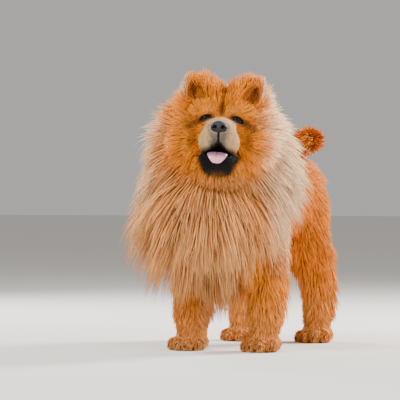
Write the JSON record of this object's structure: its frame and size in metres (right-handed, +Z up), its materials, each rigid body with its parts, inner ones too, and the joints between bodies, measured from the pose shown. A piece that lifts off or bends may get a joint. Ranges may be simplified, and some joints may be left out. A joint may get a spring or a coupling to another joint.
{
  "type": "chow chow",
  "caption": "Standing chow chow dog with a full red coat, deep lion-like ruff, open mouth and tail curled over its back, life size.",
  "frame": {"origin": "on the floor at the middle of the dog's bounding box", "axes": "+Z up, -Y the way the dog faces, +X the dog's left"},
  "size_m": [0.4262, 0.7556, 0.6531],
  "materials": {
    "coat": "long dense red coat",
    "mane": "long red ruff with paler tips",
    "muzzle_fur": "short velvety cream fur",
    "paw_fur": "short red fur",
    "nose_leather": "damp dark pebbled nose leather",
    "lip": "black lips and chin",
    "tongue": "moist pink, purple grey at the root",
    "eye": "wet dark brown",
    "claw": "dark horn"
  },
  "bodies": {
    "root": {"eye_left": "eye", "eye_right": "eye", "ear_left": "coat", "ear_right": "coat", "nose": "nose_leather", "tongue": "tongue", "muzzle": "muzzle_fur", "lower_jaw": "lip", "head": "coat", "neck": "mane", "torso": "coat", "tail": "coat", "leg_front_left": "coat", "leg_front_right": "coat", "leg_hind_left": "coat", "leg_hind_right": "coat", "paw_front_left": "paw_fur", "paw_front_right": "paw_fur", "paw_hind_left": "paw_fur", "paw_hind_right": "paw_fur", "claw_front_left_1": "claw", "claw_front_left_2": "claw", "claw_front_left_3": "claw", "claw_front_left_4": "claw", "claw_front_right_1": "claw", "claw_front_right_2": "claw", "claw_front_right_3": "claw", "claw_front_right_4": "claw", "claw_hind_left_1": "claw", "claw_hind_left_2": "claw", "claw_hind_left_3": "claw", "claw_hind_left_4": "claw", "claw_hind_right_1": "claw", "claw_hind_right_2": "claw", "claw_hind_right_3": "claw", "claw_hind_right_4": "claw"}
  },
  "joints": []
}
